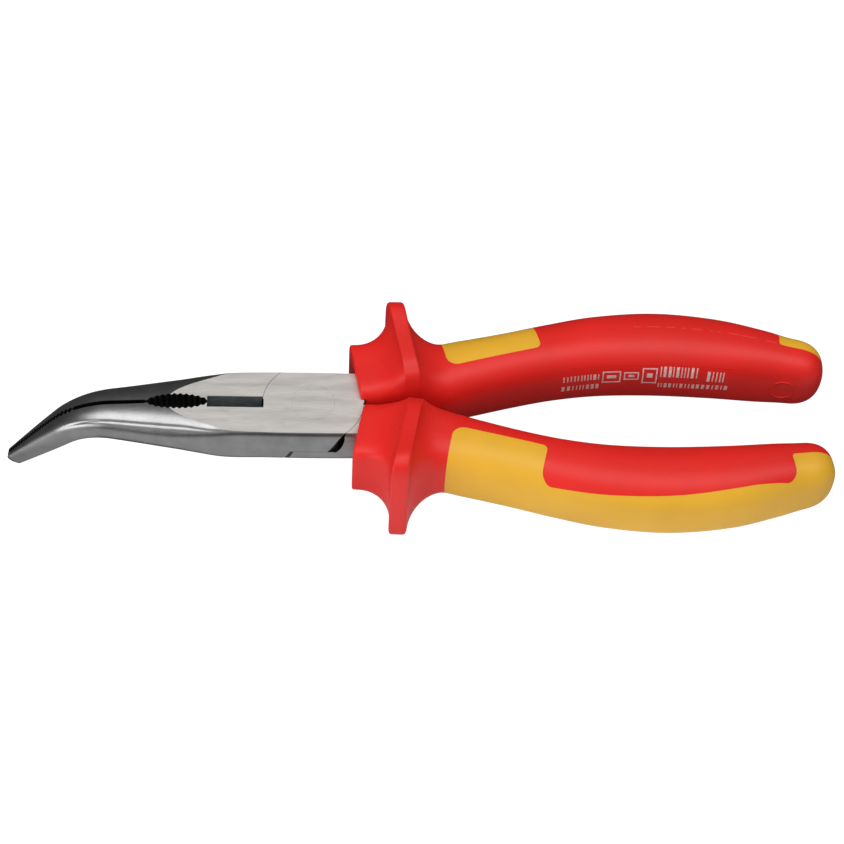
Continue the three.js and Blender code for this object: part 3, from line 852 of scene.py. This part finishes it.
def new_material(name, colour, metallic, roughness):
    """A material, its node tree and its shader. Noise may take over the colour and roughness."""
    material = bpy.data.materials.new(name)
    material.use_nodes = True
    shader = material.node_tree.nodes["Principled BSDF"]
    shader.inputs["Base Color"].default_value = (*colour, 1)
    shader.inputs["Metallic"].default_value = metallic
    shader.inputs["Roughness"].default_value = roughness
    return material, material.node_tree, shader


def noise(tree, per_mm, detail=4.0, distortion=0.0):
    """Noise that stays on the piece, with this many features per millimetre along X, Y and Z."""
    place = tree.nodes.new("ShaderNodeTexCoord")
    mapping = tree.nodes.new("ShaderNodeMapping")
    mapping.inputs["Scale"].default_value = [n / MM for n in per_mm]
    texture = tree.nodes.new("ShaderNodeTexNoise")
    texture.inputs["Scale"].default_value = 1
    texture.inputs["Detail"].default_value = detail
    texture.inputs["Distortion"].default_value = distortion
    tree.links.new(place.outputs["Object"], mapping.inputs["Vector"])
    tree.links.new(mapping.outputs["Vector"], texture.inputs["Vector"])
    return texture.outputs["Fac"]


def spread(tree, value, low, high, start=0.35, end=0.65):
    """Maps the middle range of a noise onto low..high."""
    node = tree.nodes.new("ShaderNodeMapRange")
    node.inputs["From Min"].default_value = start
    node.inputs["From Max"].default_value = end
    node.inputs["To Min"].default_value = low
    node.inputs["To Max"].default_value = high
    tree.links.new(value, node.inputs["Value"])
    return node.outputs["Result"]


def blend_colours(tree, factor, first, second):
    """Mixes two colours, each a fixed colour or the output of a node."""
    node = tree.nodes.new("ShaderNodeMix")
    node.data_type = "RGBA"
    tree.links.new(factor, node.inputs["Factor"])
    for socket, colour in (("A", first), ("B", second)):
        target = [s for s in node.inputs if s.name == socket and s.type == "RGBA"][0]
        if isinstance(colour, tuple):
            target.default_value = (*colour, 1)
        else:
            tree.links.new(colour, target)
    return [s for s in node.outputs if s.type == "RGBA"][0]


def add_bump(tree, shader, *layers):
    """Stacks bumps, each a (height, strength, depth in millimetres)."""
    previous = None
    for height, strength, depth in layers:
        node = tree.nodes.new("ShaderNodeBump")
        node.inputs["Strength"].default_value = strength
        node.inputs["Distance"].default_value = depth * MM
        tree.links.new(height, node.inputs["Height"])
        if previous:
            tree.links.new(previous, node.inputs["Normal"])
        previous = node.outputs["Normal"]
    tree.links.new(previous, shader.inputs["Normal"])


def ground_steel(name):
    """Flat ground faces: fine grinding lines along X and a few faint oil stains."""
    material, tree, shader = new_material(name, (0.8, 0.775, 0.74), 1, 0.55)
    lines = noise(tree, (0.25, 7, 7), detail=5)
    broad = noise(tree, (0.06, 0.5, 0.5), detail=3)
    stain = noise(tree, (0.22, 0.3, 0.3), detail=6)
    tone = blend_colours(tree, spread(tree, lines, 0, 1), (0.75, 0.725, 0.69), (0.87, 0.845, 0.81))
    tone = blend_colours(tree, spread(tree, stain, 0, 0.5, 0.58, 0.75), tone, (0.68, 0.63, 0.55))
    tree.links.new(tone, shader.inputs["Base Color"])
    tree.links.new(spread(tree, broad, 0.5, 0.6), shader.inputs["Roughness"])
    add_bump(tree, shader, (lines, 0.3, 0.02), (broad, 0.08, 0.03))
    return material


def forged_steel(name):
    """Blasted forging: satin, with a fine speckle and soft cloudiness."""
    material, tree, shader = new_material(name, (0.36, 0.36, 0.365), 1, 0.28)
    speckle = noise(tree, (3.2, 3.2, 3.2), detail=4)
    cloud = noise(tree, (0.25, 0.25, 0.25), detail=4)
    tone = blend_colours(tree, spread(tree, cloud, 0, 1), (0.31, 0.31, 0.315), (0.37, 0.37, 0.37))
    tree.links.new(tone, shader.inputs["Base Color"])
    tree.links.new(spread(tree, speckle, 0.3, 0.37), shader.inputs["Roughness"])
    add_bump(tree, shader, (speckle, 0.18, 0.05), (cloud, 0.15, 0.05))
    return material


def bevel_steel(name):
    """Slate-grey bevels of the cutter, with lines along the edge."""
    material, tree, shader = new_material(name, (0.16, 0.17, 0.175), 0.5, 0.6)
    lines = noise(tree, (0.5, 5, 5), detail=4)
    tone = blend_colours(tree, spread(tree, lines, 0, 1), (0.09, 0.1, 0.105), (0.17, 0.185, 0.19))
    tree.links.new(tone, shader.inputs["Base Color"])
    tree.links.new(spread(tree, lines, 0.55, 0.65), shader.inputs["Roughness"])
    add_bump(tree, shader, (lines, 0.3, 0.02))
    return material


def black_steel_and_painted_shade(name):
    """Near-black steel for the teeth, gripping faces and joint walls: partly their blackened finish,
    partly painted shade in the deep gaps and hollows between the halves.
    """
    material, tree, shader = new_material(name, (0.06, 0.06, 0.065), 1, 0.4)
    grain = noise(tree, (2, 2, 2), detail=5)
    tone = blend_colours(tree, spread(tree, grain, 0, 1), (0.04, 0.04, 0.043), (0.09, 0.092, 0.1))
    tree.links.new(tone, shader.inputs["Base Color"])
    tree.links.new(spread(tree, grain, 0.34, 0.5), shader.inputs["Roughness"])
    add_bump(tree, shader, (grain, 0.4, 0.04))
    return material


def grip_plastic(name, colour, worn, roughness):
    """Moulded grip plastic: a fine matt texture, soft colour variation and a few light scuffs."""
    material, tree, shader = new_material(name, colour, 0, roughness)
    shader.inputs["Specular IOR Level"].default_value = 0.35
    grain = noise(tree, (4, 4, 4), detail=3)
    cloud = noise(tree, (0.05, 0.05, 0.05), detail=3)
    scuff = noise(tree, (0.5, 2.2, 1.1), detail=8, distortion=1.5)
    darker = tuple(channel * 0.9 for channel in colour)
    tone = blend_colours(tree, spread(tree, cloud, 0, 1), darker, colour)
    tone = blend_colours(tree, spread(tree, scuff, 0, 0.35, 0.68, 0.76), tone, worn)
    tree.links.new(tone, shader.inputs["Base Color"])
    uneven = spread(tree, grain, roughness - 0.04, roughness + 0.05)
    tree.links.new(uneven, shader.inputs["Roughness"])
    add_bump(tree, shader, (grain, 0.25, 0.03), (cloud, 0.1, 0.2))
    return material


def print_ink(name):
    """Pale pinkish ink, a little patchy."""
    material, tree, shader = new_material(name, (0.85, 0.6, 0.57), 0, 0.6)
    patch = noise(tree, (2, 2, 2), detail=3)
    tone = blend_colours(tree, spread(tree, patch, 0, 1), (0.75, 0.42, 0.39), (0.9, 0.72, 0.69))
    tree.links.new(tone, shader.inputs["Base Color"])
    return material


# ---- pieces ----

def finish(solid, name, body, node, slot, turned_over, sharp_degrees):
    """Shades a solid, turns and scales it into the frame, and hangs it on its body."""
    flip = Matrix.Rotation(math.pi, 4, "X") if turned_over else Matrix.Identity(4)
    solid.data.transform(Matrix.Translation(JOINT) @ Matrix.Scale(MM, 4) @ flip)
    shape = bmesh.new()
    shape.from_mesh(solid.data)
    limit = math.radians(sharp_degrees)
    for face in shape.faces:
        face.smooth = True
    for edge in shape.edges:
        faces = edge.link_faces
        same = len(faces) == 2 and faces[0].material_index == faces[1].material_index
        edge.smooth = same and edge.calc_face_angle(0) < limit
    shape.to_mesh(solid.data)
    shape.free()
    solid.name = name
    solid.data.name = name
    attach(solid, body)
    if node:
        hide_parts(node)


def dress(solid, material):
    """Gives the whole solid one material."""
    solid.data.materials.clear()
    solid.data.materials.append(material)
    solid.data.polygons.foreach_set("material_index", [0] * len(solid.data.polygons))
    return solid


def make_steel():
    """Both steel halves and the rivet."""
    finishes = [
        ground_steel("ground_steel"), forged_steel("forged_steel"),
        bevel_steel("bevel_steel"), black_steel_and_painted_shade("black_steel_and_painted_shade"),
    ]
    halves = (
        ("front", FRONT_BOSS, REAR_BOSS, LAP_PLANE, -1),
        ("rear", REAR_BOSS, FRONT_BOSS, -LAP_PLANE, 1),
    )
    for side, own, other, lap, direction in halves:
        half = steel_half(own, other, lap, direction)
        steel_materials(half, finishes)
        bend(half, direction)
        node = f"{side}_jaw_half"
        turned_over = side == "rear"
        finish(half, f"{side}_steel", f"{side}_half", node, "steel", turned_over, STEEL_SHARP)
    rivet = dress(turned(rivet_profile(0, FACE)), ground_steel("rivet_steel"))
    finish(rivet, "rivet", "front_half", "pivot_rivet", "rivet", False, STEEL_SHARP)


def make_grips():
    """Both grips and sleeves, and the fine marks on the upper grip."""
    red = grip_plastic("red_grip", (0.81, 0.018, 0.013), (0.82, 0.18, 0.15), 0.47)
    yellow = grip_plastic("yellow_sleeve", (0.84, 0.45, 0.03), (0.88, 0.57, 0.13), 0.46)
    for side, place in (("front", "upper"), ("rear", "lower")):
        shell, core = grip_pieces(HANDLES[place])
        dress(shell, red)
        dress(core, yellow)
        for solid, kind, slot in ((shell, "shell", "red_grip"), (core, "sleeve", "yellow_sleeve")):
            name = f"{place}_{kind}"
            node = f"{place}_grip_{kind}"
            finish(solid, name, f"{side}_half", node, slot, place == "lower", PLASTIC_SHARP)
    # A paler red than the grip: painted highlight along the raised flash line, with lighter red
    # scuffs.
    flash_painted_highlight_plastic = grip_plastic("flash_painted_highlight_plastic", (0.83, 0.13, 0.1), (0.9, 0.4, 0.35), 0.46)
    details = (
        (printed_marks(), print_ink("print_ink"), "flank_marks"),
        (flash_line(), flash_painted_highlight_plastic, "flash_line"),
    )
    for marks, material, name in details:
        dress(marks, material)
        finish(marks, name, "front_half", None, "red_grip", False, PLASTIC_SHARP)


# ---- studio ----

def look_matrix(position, target, roll=0.0):
    """The place and turn of a camera or light that looks from one point to another."""
    forward = (target - position).normalized()
    right = forward.cross(Vector((0, 0, 1))).normalized()
    up = right.cross(forward)
    rolled_right = right * math.cos(roll) + up * math.sin(roll)
    rolled_up = up * math.cos(roll) - right * math.sin(roll)
    matrix = Matrix((rolled_right, rolled_up, -forward)).transposed().to_4x4()
    matrix.translation = position
    return matrix


def make_camera():
    azimuth, elevation = math.radians(CAMERA["azimuth"]), math.radians(CAMERA["elevation"])
    aim = Vector(CAMERA["aim"])
    flat = math.cos(elevation)
    forward = Vector((math.sin(azimuth) * flat, math.cos(azimuth) * flat, -math.sin(elevation)))
    position = aim - forward * CAMERA["distance"]
    camera = bpy.data.objects.new("camera", bpy.data.cameras.new("camera"))
    bpy.context.scene.collection.objects.link(camera)
    camera.matrix_world = look_matrix(position, aim, math.radians(CAMERA["roll"]))
    camera.data.lens = CAMERA["lens"]
    camera.data.sensor_width = CAMERA["sensor"]
    camera.data.clip_start = CAMERA["nearest"]
    bpy.context.scene.camera = camera


def area_light(name, position, target, size, radiance):
    """A soft box of this width and height whose surface has this brightness."""
    data = bpy.data.lights.new(name, "AREA")
    data.shape = "RECTANGLE"
    data.size, data.size_y = size
    data.energy = radiance * math.pi * size[0] * size[1]
    light = bpy.data.objects.new(name, data)
    bpy.context.scene.collection.objects.link(light)
    light.matrix_world = look_matrix(Vector(position), Vector(target))
    light.visible_camera = False


def make_lights():
    """A faint even glow from all around, and the soft boxes."""
    world = bpy.data.worlds.new("studio")
    bpy.context.scene.world = world
    world.use_nodes = True
    background = world.node_tree.nodes["Background"]
    background.inputs["Color"].default_value = (1, 1, 1, 1)
    background.inputs["Strength"].default_value = WORLD_GLOW
    for light in LIGHTS:
        area_light(*light)
    bpy.context.scene.view_settings.view_transform = "Standard"


def plane(name, x, y, height, colour, glow):
    """A flat, evenly glowing surface of the studio, in one grey."""
    corners = [(x[0], y[0]), (x[1], y[0]), (x[1], y[1]), (x[0], y[1])]
    surface = object_of([(px, py, 0) for px, py in corners], [(0, 1, 2, 3)])
    surface.name = name
    surface.location.z = height
    material, _, shader = new_material(name, (colour, colour, colour), 0, 0.8)
    shader.inputs["Emission Color"].default_value = (1, 1, 1, 1)
    shader.inputs["Emission Strength"].default_value = glow
    surface.data.materials.append(material)
    return surface


def glowing_sheet(name, x, y, lift, glow, table_height):
    """A black glowing sheet just above the table, which only its light gives away."""
    sheet = plane(name, x, y, table_height + lift, 0.0, glow)
    sheet.visible_camera = False
    sheet.visible_shadow = False
    return sheet


def make_floor():
    """A pale self-lit table just under the lowest point, and three sheets that the camera doesn't
    see. Two cards in front of the tool are what its steel mirrors in place of the table, one for
    the head and handles and one for the nose. The fill lights the flanks but isn't mirrored."""
    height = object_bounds()[0].z - TABLE["below"]
    limits = (-TABLE["reach"], TABLE["reach"])
    floor = plane("floor", limits, limits, height, TABLE["colour"], TABLE["glow"])
    floor.visible_glossy = False
    floor.visible_diffuse = False
    for card in MIRROR_CARDS:
        glowing_sheet(*card, height).visible_diffuse = False
    glowing_sheet(*FILL, height).visible_glossy = False


make_camera()
make_steel()
make_grips()
make_lights()
make_floor()
